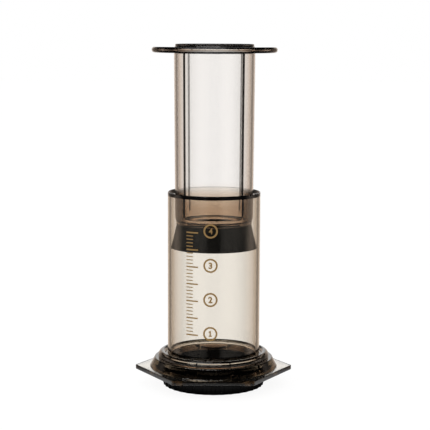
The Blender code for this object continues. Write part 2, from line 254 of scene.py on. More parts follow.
# Print
PRINT_GAP = 0.00002
PRINT_T = 0.00006
MARK_AZIMUTH = math.radians(-4.0)
MARK_FIRST_Z = 0.0397
MARK_STEP_Z = 0.0222
MARK_COUNT = 4
MARK_R = 0.00462
MARK_LINE = 0.00112
DIGIT_H = 0.0039
DIGIT_LINE = 0.00092
DIGIT_BOLD = (0.00022, 0.00022, 0.00004)
DIGIT_FONT_SHARE = 0.72
SCALE_AZIMUTH = math.radians(-27.3)
SCALE_LOW_Z = 0.0384
SCALE_HIGH_Z = 0.1053
TICKS_A_MARK = 10
LONG_TICK_EVERY = 5
LONG_TICK_L = 0.0084
LONG_TICK_W = 0.0009
SHORT_TICK_L = 0.0048
SHORT_TICK_W = 0.0006
PRINT_CUT = 0.0006

# Camera, fitted to the photograph, and studio
CAMERA_BACK = 0.8896
CAMERA_UP = 0.2297
CAMERA_RIGHT = 0.00015
CAMERA_PITCH_DEG = 7.484
CAMERA_ROLL_DEG = -0.24
FOCAL_PX = 1365.0
PICTURE_PX = 430
SENSOR_MM = 36.0
CLIP_START = 0.01
FLOOR_HALF = 6.0
FLOOR_Z = -0.0002
FLOOR_GREY = 0.13
FLOOR_GLOW = 0.90
FLOOR_MIRROR_GLOW = 0.72
# Painted shadow for gloss and glass: the floor's glow they see fades in over this reach from the
# object
FLOOR_SHADOW_PAINT_REACH = (0.038, 0.060)
FLOOR_CLEAR_REACH = (0.06, 0.11)
LAMP_SIZE = 1.2
LAMP_POWER = 5.0
LAMP_PLACE = (-0.3, -0.3, 1.3)
LAMP_AIM = (0, 0, 0.1)

# The studio, seen by gloss and glass: brightness by the direction's part sideways, towards the
# back or the camera, and up or down
SCREEN_STOPS = (
    (0.0, 1.11), (0.035, 1.11), (0.06, 1.05), (0.10, 0.91), (0.14, 0.85), (0.24, 0.84),
    (0.34, 0.62), (0.50, 0.28), (0.80, 0.16), (0.94, 0.60),
)
FRONT_STOPS = ((0.0, 0.004), (0.24, 0.004), (0.32, 0.065), (1.0, 0.05))
# What the camera side gains for light that has passed through the plastic
THROUGH_STOPS = ((0.0, 0.04), (0.22, 0.04), (0.32, 0.15), (0.50, 0.34), (0.86, 0.34), (0.98, 0.10))
THROUGH_TINT = (1.0, 0.95, 0.90)
SIDE_STOPS = ((-0.15, 0.0), (0.25, 1.0))
HEIGHT_STOPS = ((-0.50, 0.0), (-0.38, 1.0), (0.25, 1.0), (0.36, 0.0))
WARM_SIDES = (1.0, 0.83, 0.70)
WARM_SPREAD = (0.04, 0.30)
STUDIO_LEAST = 0.006
MATT_LIGHT = 0.80

# Fineness of the meshes
ROUND_STEPS = 480
LUG_STEPS = 24
BEAD_STEPS = 24
NOSE_STEPS = 12
HOLLOW_STEPS = 10
COLLAR_STEPS = 8
CORNER_STEPS = 6
SMALL_STEPS = 5
NECK_STEPS = 3
RING_STEPS = 72
GRIP_RIB_STEPS = 10
DIGIT_STEPS = 6
FLANK_CLEAR = 0.3
SHARP_DEG = 24.0
SHADE_WEIGHT = 100
WELD = 1e-7
PRINT_WELD = 1e-6
CUT_SNAP = 1e-8


def arc(centre_r, centre_z, radius, start_deg, end_deg, steps):
    """Points on an arc of an outline. 0 degrees points outwards and 90 degrees up."""
    points = []
    for i in range(steps + 1):
        angle = math.radians(start_deg + (end_deg - start_deg) * i / steps)
        points.append((centre_r + radius * math.cos(angle), centre_z + radius * math.sin(angle)))
    return points


def even_angles(count):
    return [2 * math.pi * i / count for i in range(count)]


def ease(share):
    share = min(max(share, 0.0), 1.0)
    return share * share * (3 - 2 * share)


def link_mesh(name, bm, material):
    bmesh.ops.recalc_face_normals(bm, faces=bm.faces[:])
    mesh = bpy.data.meshes.new(name)
    bm.to_mesh(mesh)
    bm.free()
    mesh.shade_smooth()
    mesh.set_sharp_from_angle(angle=math.radians(SHARP_DEG))
    if material is not None:
        mesh.materials.append(material)
    obj = bpy.data.objects.new(name, mesh)
    bpy.context.scene.collection.objects.link(obj)
    return obj


def turned(name, outline_at, angles, material, base_z=0.0):
    """A closed body from a loop of (radius, height) points, which may change as it turns."""
    bm = bmesh.new()
    rings = []
    for angle in angles:
        ring = []
        for radius, height in outline_at(angle):
            place = (radius * math.cos(angle), radius * math.sin(angle), base_z + height)
            ring.append(bm.verts.new(place))
        rings.append(ring)
    for near, far in zip(rings, rings[1:] + rings[:1]):
        for i in range(len(near)):
            j = (i + 1) % len(near)
            on_axis = near[i].co.xy.length < WELD and near[j].co.xy.length < WELD
            if not on_axis:
                bm.faces.new((near[i], near[j], far[j], far[i]))
    bmesh.ops.remove_doubles(bm, verts=bm.verts[:], dist=WELD)
    return link_mesh(name, bm, material)


def add_sector(bm, inner_r, outer_r, low_z, high_z, centre_deg, width_deg, steps):
    """A closed block between two radii, two heights and two angles."""
    rings = []
    for i in range(steps + 1):
        angle = math.radians(centre_deg - width_deg / 2 + width_deg * i / steps)
        corners = ((inner_r, low_z), (outer_r, low_z), (outer_r, high_z), (inner_r, high_z))
        rings.append(
            [
                bm.verts.new((radius * math.cos(angle), radius * math.sin(angle), height))
                for radius, height in corners
            ]
        )
    for near, far in zip(rings, rings[1:]):
        for i in range(len(near)):
            j = (i + 1) % len(near)
            bm.faces.new((near[i], near[j], far[j], far[i]))
    bm.faces.new(rings[0])
    bm.faces.new(rings[-1])


def apply_modifiers(obj):
    graph = bpy.context.evaluated_depsgraph_get()
    mesh = bpy.data.meshes.new_from_object(obj.evaluated_get(graph))
    obj.modifiers.clear()
    obj.data = mesh


def combine(target, helper, operation):
    """Applies a Boolean with a helper body, then removes the helper."""
    boolean = target.modifiers.new(helper.name, "BOOLEAN")
    boolean.operation = operation
    boolean.solver = "EXACT"
    boolean.object = helper
    apply_modifiers(target)
    target.data.shade_smooth()
    target.data.set_sharp_from_angle(angle=math.radians(SHARP_DEG))
    bpy.data.objects.remove(helper, do_unlink=True)


def even_shading(obj):
    """Lets the large faces set the shading, so that long walls stay optically straight."""
    weighted = obj.modifiers.new("even_shading", "WEIGHTED_NORMAL")
    weighted.keep_sharp = True
    weighted.weight = SHADE_WEIGHT
    apply_modifiers(obj)


class Nodes:
    """Short hand for building a node tree."""

    def __init__(self, tree):
        self.tree = tree
        tree.nodes.clear()

    def add(self, kind, **values):
        node = self.tree.nodes.new(kind)
        for name, value in values.items():
            setattr(node, name, value)
        return node

    def link(self, source, target):
        self.tree.links.new(source, target)

    def fill(self, socket, given):
        if isinstance(given, tuple):
            socket.default_value = (*given, 1.0)
        elif isinstance(given, (int, float)):
            socket.default_value = given
        else:
            self.link(given, socket)

    def value(self, operation, *given_values):
        node = self.add("ShaderNodeMath", operation=operation)
        for socket, given in zip(node.inputs, given_values):
            self.fill(socket, given)
        return node.outputs[0]

    def ramp(self, source, low, high, out_low=0.0, out_high=1.0):
        node = self.add("ShaderNodeMapRange", interpolation_type="SMOOTHSTEP")
        node.inputs["From Min"].default_value = low
        node.inputs["From Max"].default_value = high
        node.inputs["To Min"].default_value = out_low
        node.inputs["To Max"].default_value = out_high
        self.link(source, node.inputs["Value"])
        return node.outputs["Result"]

    def stops(self, source, stops):
        """A smooth curve through (value, brightness) stops, for values from -1 to 1."""
        share = self.value("MULTIPLY_ADD", source, 0.5, 0.5)
        node = self.add("ShaderNodeValToRGB")
        node.color_ramp.interpolation = "EASE"
        for i, (value, brightness) in enumerate(stops):
            place = (value + 1) / 2
            elements = node.color_ramp.elements
            element = elements[i] if i < len(elements) else elements.new(place)
            element.position = place
            element.color = (*grey(brightness), 1.0)
        self.link(share, node.inputs["Fac"])
        return node.outputs["Color"]

    def mix_colour(self, factor, first, second, kind="MIX"):
        """Mixes two colours. A colour mix has its factor and colours at inputs 0, 6 and 7."""
        node = self.add("ShaderNodeMix", data_type="RGBA", blend_type=kind)
        for place, given in zip((0, 6, 7), (factor, first, second)):
            self.fill(node.inputs[place], given)
        return node.outputs[2]

    def blend(self, kind, first, second):
        return self.mix_colour(1.0, first, second, kind)


def grey(level):
    return (level, level, level)


def new_material(name):
    material = bpy.data.materials.new(name)
    material.use_nodes = True
    return material, Nodes(material.node_tree)


def noise(nodes, scale, detail, stretch=(1, 1, 1)):
    """Noise on the object's own coordinates, scale in features a metre."""
    coords = nodes.add("ShaderNodeTexCoord")
    mapping = nodes.add("ShaderNodeMapping")
    mapping.inputs["Scale"].default_value = stretch
    nodes.link(coords.outputs["Object"], mapping.inputs["Vector"])
    texture = nodes.add("ShaderNodeTexNoise")
    texture.inputs["Scale"].default_value = scale
    texture.inputs["Detail"].default_value = detail
    nodes.link(mapping.outputs["Vector"], texture.inputs["Vector"])
    return texture.outputs["Fac"]


def object_part(nodes, axis):
    coords = nodes.add("ShaderNodeTexCoord")
    split = nodes.add("ShaderNodeSeparateXYZ")
    nodes.link(coords.outputs["Object"], split.inputs["Vector"])
    return split.outputs[axis]


def object_height(nodes):
    return object_part(nodes, "Z")


def object_radius(nodes):
    coords = nodes.add("ShaderNodeTexCoord")
    flat = nodes.add("ShaderNodeVectorMath", operation="MULTIPLY")
    flat.inputs[1].default_value = (1, 1, 0)
    nodes.link(coords.outputs["Object"], flat.inputs[0])
    length = nodes.add("ShaderNodeVectorMath", operation="LENGTH")
    nodes.link(flat.outputs["Vector"], length.inputs[0])
    return length.outputs["Value"]


def bore_shade_share(nodes):
    """Painted shade: 1 at the foot of the chamber's tube, which the cap and the bead stand round.
    """
    low = nodes.ramp(object_height(nodes), BASE_FADE_LOW_Z, BASE_FADE_HIGH_Z, 1.0, 0.0)
    inside = nodes.ramp(object_radius(nodes), CHAMBER_R + SINK, CHAMBER_R + 2 * SINK, 1.0, 0.0)
    return nodes.value("MULTIPLY", low, inside)


def skirt_shade_share(nodes):
    """Painted shade: 1 on the chamber's skirt and step, which stand over the black cap."""
    low = nodes.ramp(object_height(nodes), STEP_TOP_Z - 2 * SINK, STEP_TOP_Z - SINK, 1.0, 0.0)
    outside = nodes.ramp(object_radius(nodes), CHAMBER_R + SINK, CHAMBER_R + 2 * SINK, 0.0, 1.0)
    inside = nodes.ramp(object_radius(nodes), STEP_FOOT_R - SINK, STEP_FOOT_R + SINK, 1.0, 0.0)
    return nodes.value("MULTIPLY", nodes.value("MULTIPLY", low, outside), inside)


def edge_shade_share(nodes):
    """Painted shade: 1 on the upright edge of the hexagonal flange."""
    geometry = nodes.add("ShaderNodeNewGeometry")
    split = nodes.add("ShaderNodeSeparateXYZ")
    nodes.link(geometry.outputs["True Normal"], split.inputs["Vector"])
    tilt = nodes.value("ABSOLUTE", split.outputs["Z"])
    upright = nodes.ramp(tilt, *EDGE_TILT, 1.0, 0.0)
    outside = nodes.ramp(object_radius(nodes), STEP_FOOT_R + SINK, STEP_FOOT_R + 2 * SINK, 0.0, 1.0)
    return nodes.value("MULTIPLY", upright, outside)


def shoulder_shade_share(nodes):
    """Painted shade: 1 below the plunger's tube."""
    return nodes.ramp(object_height(nodes), NECK_FADE_LOW_Z, NECK_FADE_HIGH_Z, 1.0, 0.0)


def side_depth_and_shade_share(nodes):
    """1 where the foot of the plunger's tube is seen at a slant: partly its deeper wall there,
    partly painted shade.
    """
    weight = nodes.add("ShaderNodeLayerWeight")
    slant = nodes.ramp(weight.outputs["Facing"], *SIDE_SLANT)
    mouth = (CHAMBER_TOP_Z - CLEARANCE, CHAMBER_TOP_Z + CLEARANCE)
    low = nodes.ramp(object_height(nodes), *mouth, 1.0, 0.0)
    return nodes.value("MULTIPLY", slant, low)


def bead_shade_share(nodes):
    """Painted shade: 1 where the bead round the chamber's foot is seen at a slant, as a dark
    outline.
    """
    weight = nodes.add("ShaderNodeLayerWeight")
    slant = nodes.ramp(weight.outputs["Facing"], *BEAD_SLANT)
    above = nodes.ramp(object_height(nodes), STEP_TOP_Z - SINK, STEP_TOP_Z, 0.0, 1.0)
    outside = nodes.ramp(object_radius(nodes), CHAMBER_R + 2 * SINK, CHAMBER_R + 4 * SINK, 0.0, 1.0)
    return nodes.value("MULTIPLY", nodes.value("MULTIPLY", above, outside), slant)


def rim_shade_share(nodes):
    """Painted shade: 1 on the plunger's flange, except for the middle of its nose."""
    foot = PLUNGER_Z + FLANGE_Z
    above = nodes.ramp(object_height(nodes), foot - SINK, foot, 0.0, 1.0)
    outside = nodes.ramp(object_radius(nodes), TUBE_TOP_R + RIB_OUT, TUBE_TOP_R + 2 * RIB_OUT)
    aside = nodes.value("SUBTRACT", object_height(nodes), foot + FLANGE_T / 2)
    aside = nodes.ramp(nodes.value("ABSOLUTE", aside), FLANGE_LIGHT / 2, FLANGE_LIGHT)
    return nodes.value("MULTIPLY", nodes.value("MULTIPLY", above, outside), aside)


def rib_shade_share(nodes):
    """Painted shade: 1 on the plunger's guide ribs, a little less on the two that stand at the
    back.
    """
    foot = PLUNGER_Z + NECK_L + SHOULDER_H
    height = object_height(nodes)
    slope = (TUBE_TOP_R - TUBE_R) / (PLUNGER_Z + FLANGE_Z - foot)
    wall = nodes.value("MULTIPLY_ADD", height, slope, TUBE_R - slope * foot)
    out = nodes.value("SUBTRACT", object_radius(nodes), wall)
    on_rib = nodes.ramp(out, RIB_START[0] * RIB_OUT, RIB_START[1] * RIB_OUT)
    off_rib = nodes.ramp(out, RIB_END[0] * RIB_OUT, RIB_END[1] * RIB_OUT, 1.0, 0.0)
    on_rib = nodes.value("MULTIPLY", on_rib, off_rib)
    below = nodes.ramp(height, PLUNGER_Z + FLANGE_Z - SINK, PLUNGER_Z + FLANGE_Z, 1.0, 0.0)
    rib_side_shade = nodes.ramp(object_part(nodes, "Y"), -RIB_MIDDLE_Y, RIB_MIDDLE_Y, 1.0, BACK_RIB_SHARE)
    return nodes.value("MULTIPLY", nodes.value("MULTIPLY", on_rib, below), rib_side_shade)


def collar_shade_share(nodes):
    """Painted shade: 1 on the collar round the plunger's mouth."""
    foot = PLUNGER_Z + FLANGE_TOP_Z
    return nodes.ramp(object_height(nodes), foot, foot + SINK, 0.0, 1.0)


def clear_plastic(name, tint, density, absorbed, shaded_places):
    """Polished see-through plastic with a tint, faint flow streaks, handling haze and painted shade
    in the places given.
    """
    material, nodes = new_material(name)
    out = nodes.add("ShaderNodeOutputMaterial")
    shader = nodes.add("ShaderNodeBsdfPrincipled")
    shader.inputs["Transmission Weight"].default_value = 1.0
    shader.inputs["IOR"].default_value = PLASTIC_IOR
    streaks = noise(nodes, *STREAK_NOISE)
    colour = nodes.mix_colour(streaks, tuple(STREAK_SHARE * c for c in tint), tint)
    for share, shade_tint in shaded_places:
        colour = nodes.mix_colour(share(nodes), colour, shade_tint)
    nodes.link(colour, shader.inputs["Base Color"])
    haze = nodes.ramp(noise(nodes, *HAZE_NOISE), *HAZE_SPREAD, *HAZE_ROUGHNESS)
    nodes.link(haze, shader.inputs["Roughness"])
    absorb = nodes.add("ShaderNodeVolumeAbsorption")
    absorb.inputs["Color"].default_value = (*absorbed, 1.0)
    absorb.inputs["Density"].default_value = density
    nodes.link(absorb.outputs["Volume"], out.inputs["Volume"])
    path = nodes.add("ShaderNodeLightPath")
    through = nodes.add("ShaderNodeBsdfTransparent")
    through.inputs["Color"].default_value = (*(SHADOW_SHARE * c for c in tint), 1.0)
    mix = nodes.add("ShaderNodeMixShader")
    nodes.link(path.outputs["Is Shadow Ray"], mix.inputs["Fac"])
    nodes.link(shader.outputs["BSDF"], mix.inputs[1])
    nodes.link(through.outputs["BSDF"], mix.inputs[2])
    nodes.link(mix.outputs["Shader"], out.inputs["Surface"])
    return material


def opaque_material(name, look):
    """Rubber, moulded plastic or ink: colour and roughness drift slightly, over a fine grain."""
    material, nodes = new_material(name)
    out = nodes.add("ShaderNodeOutputMaterial")
    shader = nodes.add("ShaderNodeBsdfPrincipled")
    cloud = noise(nodes, *look["cloud"])
    nodes.link(nodes.mix_colour(cloud, *look["colours"]), shader.inputs["Base Color"])
    roughness = nodes.ramp(cloud, *look["spread"], *look["roughness"])
    nodes.link(roughness, shader.inputs["Roughness"])
    shader.inputs["Specular IOR Level"].default_value = look["specular"]
    if "grain" in look:
        bump = nodes.add("ShaderNodeBump")
        bump.inputs["Strength"].default_value = look["grain_strength"]
        bump.inputs["Distance"].default_value = look["grain_depth"]
        nodes.link(noise(nodes, *look["grain"]), bump.inputs["Height"])
        nodes.link(bump.outputs["Normal"], shader.inputs["Normal"])
    nodes.link(shader.outputs["BSDF"], out.inputs["Surface"])
    return material


def hex_radius(angle, trim):
    """Distance from the axis to the flange's rounded hexagon at an angle, drawn in by a trim."""
    apothem = HEX_APOTHEM - trim
    centre = (apothem - HEX_CORNER_ROUND) / math.cos(HEX_HALF_ANGLE)
    from_corner = (angle + HEX_HALF_ANGLE) % (2 * HEX_HALF_ANGLE) - HEX_HALF_ANGLE
    tangent = math.atan2(HEX_CORNER_ROUND / 2, centre + HEX_CORNER_ROUND * math.cos(HEX_HALF_ANGLE))
    if abs(from_corner) < tangent:
        across = centre * math.sin(from_corner)
        return centre * math.cos(from_corner) + math.sqrt(HEX_CORNER_ROUND**2 - across**2)
    return apothem / math.cos(HEX_HALF_ANGLE - abs(from_corner))


def chamber_outline(angle):
    """From the mouth down the outside, round the base and up the bore."""
    crown_r = BEAD_R - BEAD_ROUND
    crown_z = BEAD_TOP_Z - BEAD_ROUND
    root_r = CHAMBER_R + ROOT_FILLET
    root_z = BEAD_TOP_Z - BEAD_DIP + ROOT_FILLET
    edge = HEX_EDGE_ROUND
    middle = HEX_EDGE_MIDDLE * edge
    points = [(BORE_R + MOUTH_FLARE, CHAMBER_TOP_Z)]
    mouth_z = CHAMBER_TOP_Z - MOUTH_ROUND
    points += arc(CHAMBER_R - MOUTH_ROUND, mouth_z, MOUTH_ROUND, 90, 0, CORNER_STEPS)
    points += arc(root_r, root_z, ROOT_FILLET, 180, 270, CORNER_STEPS)
    points += arc(crown_r, crown_z, BEAD_ROUND, BEAD_START_DEG, BEAD_UNDER_DEG, BEAD_STEPS)
    step_z = STEP_TOP_Z - STEP_ROUND
    points += arc(STEP_TOP_R - STEP_ROUND, step_z, STEP_ROUND, 90, STEP_END_DEG, SMALL_STEPS)
    points.append((STEP_FOOT_R, HEX_TOP_Z + STEP_FILLET / 2))
    points.append((STEP_FOOT_R + STEP_FILLET / 2, HEX_TOP_Z))
    for trim, height in (
        (edge, HEX_TOP_Z),
        (middle, HEX_TOP_Z - middle),
        (0, HEX_TOP_Z - edge),
        (0, HEX_Z + edge),
        (middle, HEX_Z + middle),
        (edge, HEX_Z),
    ):
        points.append((hex_radius(angle, trim), height))
    points.append((BEAD_R, HEX_Z))
    points.append((BEAD_R - CLEARANCE, LIP_Z))
    points.append((SKIRT_R, LIP_Z))
    points.append((SKIRT_R, POCKET_ROOF_Z - STEP_FILLET))
    points.append((SKIRT_R - STEP_FILLET, POCKET_ROOF_Z))
    points.append((CHAMBER_R + STEP_FILLET, POCKET_ROOF_Z))
    points.append((CHAMBER_R, POCKET_ROOF_Z - STEP_FILLET))
    points.append((CHAMBER_R, FOOT_Z))
    points.append((BORE_R, FOOT_Z))
    points.append((BORE_R, CHAMBER_TOP_Z - MOUTH_H))
    return points


def make_chamber(material):
    chamber = turned("chamber_moulding", chamber_outline, even_angles(ROUND_STEPS), material)
    half_pitch = 180 / BAYONET_COUNT
    web_deg = math.degrees(WEB_W / SKIRT_R)
    bm = bmesh.new()
    for i in range(2 * BAYONET_COUNT):
        centre = FIRST_LUG_DEG + half_pitch * (i + 0.5)
        high_z = POCKET_ROOF_Z + SINK
        add_sector(bm, CHAMBER_R - SINK, SKIRT_R + SINK, WEB_Z, high_z, centre, web_deg, 1)
    for i in range(BAYONET_COUNT):
        centre = FIRST_LUG_DEG + 2 * half_pitch * i
        outer_r = SKIRT_R + SINK
        add_sector(bm, CHAMBER_LUG_R, outer_r, LUG_Z, LUG_TOP_Z, centre, CHAMBER_LUG_DEG, LUG_STEPS)
    combine(chamber, link_mesh("bayonet_helper", bm, None), "UNION")
    bm = bmesh.new()
    for i in range(BAYONET_COUNT):
        centre = FIRST_LUG_DEG + 2 * half_pitch * i + half_pitch / 2 - web_deg / 2
        inner_r = CHAMBER_LUG_R + SINK / 3
        low_z = LUG_TOP_Z - SINK
        high_z = WEB_Z + SINK
        add_sector(bm, inner_r, SKIRT_R + SINK, low_z, high_z, centre, 2 * web_deg, 2)
    combine(chamber, link_mesh("stop_helper", bm, None), "UNION")
    even_shading(chamber)
    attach(chamber, "chamber_body")
    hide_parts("chamber")
    return chamber


def rib_height(angle):
    """How far a guide rib stands out of the wall at an angle, as a share of its height."""
    pitch = 2 * math.pi / PLUNGER_RIBS
    from_rib = (angle - math.radians(RIB_TURN_DEG)) % pitch - pitch / 2
    across = abs(from_rib) * TUBE_R
    return 1.0 if across < RIB_W / 2 - RIB_EDGE / 2 else 0.0


def plunger_angles():
    """Even steps, with the ribs' own flanks in place of the steps beside them."""
    pitch = 2 * math.pi / PLUNGER_RIBS
    flanks = []
    for i in range(PLUNGER_RIBS):
        centre = pitch * (i + 0.5) + math.radians(RIB_TURN_DEG)
        for across in (-RIB_W / 2, RIB_EDGE - RIB_W / 2, 0.0, RIB_W / 2 - RIB_EDGE, RIB_W / 2):
            flanks.append(centre + across / TUBE_R)
    clear = FLANK_CLEAR * 2 * math.pi / ROUND_STEPS
    steps = [
        angle
        for angle in even_angles(ROUND_STEPS)
        if all(abs(angle - flank) > clear for flank in flanks)
    ]
    return sorted(steps + flanks)


def plunger_outline(angle):
    """From the neck's end up the outside, over the flange and down the hollow."""
    hollow_r = TUBE_R - PLUNGER_WALL
    hollow_top_r = TUBE_TOP_R - PLUNGER_WALL
    neck_in_r = NECK_R - NECK_WALL
    shoulder_z = NECK_L + NECK_WALL
    collar_r = hollow_top_r + COLLAR_T
    rib = RIB_OUT * rib_height(angle)
    wall_z = NECK_L + SHOULDER_H
    points = [(0, 0), (NECK_BEAD_R - NECK_END, 0)]
    points += arc(NECK_BEAD_R - NECK_END, NECK_END, NECK_END, -NECK_END_DEG, 0, NECK_STEPS)
    points.append((NECK_BEAD_R, NECK_END + NECK_BEAD_H))
    points.append((NECK_R, NECK_END + NECK_BEAD_H + NECK_BEAD_R - NECK_R))
    points.append((NECK_R, NECK_L))
    points.append((SHOULDER_R, NECK_L))
    for i in range(1, CORNER_STEPS + 1):
        share = i / CORNER_STEPS
        flare = (TUBE_R - SHOULDER_R) * (1 - math.cos(share * math.pi / 2))
        points.append((SHOULDER_R + flare, NECK_L + SHOULDER_H * share))
    for i in range(1, CORNER_STEPS + 1):
        share = i / CORNER_STEPS
        height = wall_z + RIB_FADE * share
        wall_r = TUBE_R + (TUBE_TOP_R - TUBE_R) * (height - wall_z) / (FLANGE_Z - wall_z)
        points.append((wall_r + rib * ease(share), height))
    points.append((TUBE_TOP_R + rib, FLANGE_Z - STEP_FILLET))
    points.append((TUBE_TOP_R + STEP_FILLET + rib, FLANGE_Z))
    nose_r = FLANGE_R - FLANGE_NOSE
    points += arc(nose_r, FLANGE_Z + FLANGE_NOSE, FLANGE_NOSE, -90, 0, NOSE_STEPS)
    points += arc(nose_r, FLANGE_TOP_Z - FLANGE_NOSE, FLANGE_NOSE, 0, 90, NOSE_STEPS)
    points.append((collar_r + STEP_FILLET, FLANGE_TOP_Z))
    points.append((collar_r, FLANGE_TOP_Z + STEP_FILLET))
    collar_z = FLANGE_TOP_Z + COLLAR_H - COLLAR_T / 2
    points += arc(collar_r - COLLAR_T / 2, collar_z, COLLAR_T / 2, 0, 180, COLLAR_STEPS)
    points.append((hollow_top_r, FLANGE_Z))
    hollow_z = shoulder_z + HOLLOW_FILLET
    points += arc(hollow_r - HOLLOW_FILLET, hollow_z, HOLLOW_FILLET, 0, -90, HOLLOW_STEPS)
    points.append((neck_in_r, shoulder_z - CLEARANCE))
    points.append((neck_in_r, NECK_L))
    floor_z = 2 * NECK_FLOOR_T
    points += arc(neck_in_r - NECK_FLOOR_T, floor_z, NECK_FLOOR_T, 0, -90, SMALL_STEPS)
    points.append((0, NECK_FLOOR_T))
    return points


def make_plunger(material):
    plunger = turned("plunger_moulding", plunger_outline, plunger_angles(), material, PLUNGER_Z)
    even_shading(plunger)
    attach(plunger, "plunger_body")
    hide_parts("plunger")
    return plunger


def seal_outline(_angle):
    """From the underside up the flared wall, over the top and down the snap cavity."""
    cavity_r = NECK_R - PRESS_FIT
    groove_r = NECK_BEAD_R + CLEARANCE
    lift = SEAL_FLOOR_T + CLEARANCE
    groove_top_z = lift + NECK_END + NECK_BEAD_H + CLEARANCE
    top = SEAL_TOP_Z - SEAL_Z + CLEARANCE + PRESS_FIT
    lip_r = SEAL_LIP_R + LIP_PRESS
    points = [(0, 0), (SEAL_LIP_R - SEAL_LIP_UNDERCUT, 0)]
    points.append((SEAL_LIP_R - SEAL_LIP_UNDERCUT / 3, SEAL_LIP_H / 4))
    lip_z = SEAL_LIP_MIDDLE * SEAL_LIP_H
    lip_round = SEAL_LIP_H / 2
    points += arc(lip_r - lip_round, lip_z, lip_round, -SEAL_LIP_DEG, SEAL_LIP_DEG, CORNER_STEPS)
    points.append((SEAL_LIP_R - SEAL_LIP_BACK, 3 * SEAL_LIP_H))
    points.append((SEAL_TOP_R, top - SEAL_ROUND))
    points += arc(SEAL_TOP_R - SEAL_ROUND, top - SEAL_ROUND, SEAL_ROUND, 0, 90, SMALL_STEPS)[1:]
    points += arc(cavity_r + SEAL_ROUND, top - SEAL_ROUND, SEAL_ROUND, 90, 180, SMALL_STEPS)
    points.append((cavity_r, groove_top_z + NECK_BEAD_R - NECK_R))
    points.append((groove_r, groove_top_z))
    points.append((groove_r, SEAL_FLOOR_T))
    points.append((0, SEAL_FLOOR_T))
    return points


def make_seal(material):
    seal = turned("rubber_seal", seal_outline, even_angles(ROUND_STEPS), material, SEAL_Z)
    even_shading(seal)
    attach(seal, "seal_body")
    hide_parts("plunger_seal")
    return seal


def cap_outline(angle):
    """From the grip's top edge down the outside, under the plate and up the inside."""
    pitch = 2 * math.pi / GRIP_RIBS
    from_rib = abs((angle + pitch / 2) % pitch - pitch / 2) / (pitch / 2)
    rib = GRIP_RIB_OUT * (1 - ease((from_rib - GRIP_RIB_FLAT) / GRIP_RIB_FLANK))
    plate_top = CAP_FOOT_H + CAP_PLATE_T
    points = [(CAP_WALL_R, GRIP_H)]
    edge_r = GRIP_R - CAP_EDGE_ROUND
    points += arc(edge_r, GRIP_H - CAP_EDGE_ROUND, CAP_EDGE_ROUND, 90, 0, SMALL_STEPS)
    for share, depth in GRIP_TOP_STEPS:
        points.append((GRIP_R + share * rib, GRIP_H - depth * CAP_EDGE_ROUND))
    for share, height in GRIP_FOOT_STEPS:
        points.append((GRIP_R + share * rib, height * CAP_FOOT_ROUND))
    points.append((GRIP_R - CAP_FOOT_ROUND, 0))
    points.append((CAP_WALL_IN_R, 0))
    points.append((CAP_WALL_IN_R - CAP_FOOT_H, CAP_FOOT_H))
    points.append((0, CAP_FOOT_H))
    points.append((0, plate_top))
    points.append((CAP_WALL_IN_R, plate_top))
    points.append((CAP_WALL_IN_R, CAP_TOP_Z))
    points.append((CAP_WALL_R, CAP_TOP_Z))
    return points


def filter_holes():
    """Round cutters in rings that gain six holes each."""
    bm = bmesh.new()
    places = [(0.0, 0.0)]
    for ring in range(1, HOLE_RINGS + 1):
        for angle in even_angles(HOLES_A_RING * ring):
            reach = HOLE_PITCH * ring
            places.append((reach * math.cos(angle), reach * math.sin(angle)))
    for x, y in places:
        made = bmesh.ops.create_cone(
            bm,
            cap_ends=True,
            segments=HOLE_SIDES,
            radius1=HOLE_R,
            radius2=HOLE_R,
            depth=3 * CAP_PLATE_T,
        )
        bmesh.ops.translate(bm, verts=made["verts"], vec=(x, y, CAP_FOOT_H + CAP_PLATE_T / 2))
    return link_mesh("hole_helper", bm, None)


def make_cap(material):
    cap = turned("perforated_cap", cap_outline, even_angles(GRIP_RIB_STEPS * GRIP_RIBS), material)
    bm = bmesh.new()
    for i in range(BAYONET_COUNT):
        centre = FIRST_LUG_DEG + 360 / BAYONET_COUNT * i
        inner_r = CAP_WALL_R - SINK
        add_sector(bm, inner_r, CAP_LUG_R, CAP_LUG_Z, CAP_LUG_TOP_Z, centre, CAP_LUG_DEG, LUG_STEPS)
    combine(cap, link_mesh("lug_helper", bm, None), "UNION")
    combine(cap, filter_holes(), "DIFFERENCE")
    even_shading(cap)
    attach(cap, "cap_body")
    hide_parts("filter_cap")
    return cap


def wrap_flat(bm, azimuth, centre_z):
    """Bends a flat shape, drawn across X and up Y, round the front of the chamber's tube."""
    low = min(vert.co.x for vert in bm.verts)
    high = max(vert.co.x for vert in bm.verts)
    cuts = int((high - low) / PRINT_CUT)
    for i in range(1, cuts + 1):
        geometry = bm.verts[:] + bm.edges[:] + bm.faces[:]
        place = (low + (high - low) * i / (cuts + 1), 0, 0)
        bmesh.ops.bisect_plane(bm, geom=geometry, plane_co=place, plane_no=(1, 0, 0), dist=CUT_SNAP)
    for vert in bm.verts:
        angle = azimuth + vert.co.x / CHAMBER_R
        radius = CHAMBER_R + PRINT_GAP + vert.co.z
        height = centre_z + vert.co.y
        vert.co = Vector((radius * math.sin(angle), -radius * math.cos(angle), height))


def thicken(bm):
    """Gives flat ink its thickness, and puts its faces in an order that is the same at each run."""
    made = bmesh.ops.extrude_face_region(bm, geom=bm.faces[:])
    moved = [item for item in made["geom"] if isinstance(item, bmesh.types.BMVert)]
    bmesh.ops.translate(bm, verts=moved, vec=(0, 0, PRINT_T))
    bm.verts.index_update()
    ordered = sorted(bm.faces, key=lambda face: sorted(vert.index for vert in face.verts))
    ranks = {face: rank for rank, face in enumerate(ordered)}
    bm.faces.sort(key=lambda face: ranks[face])


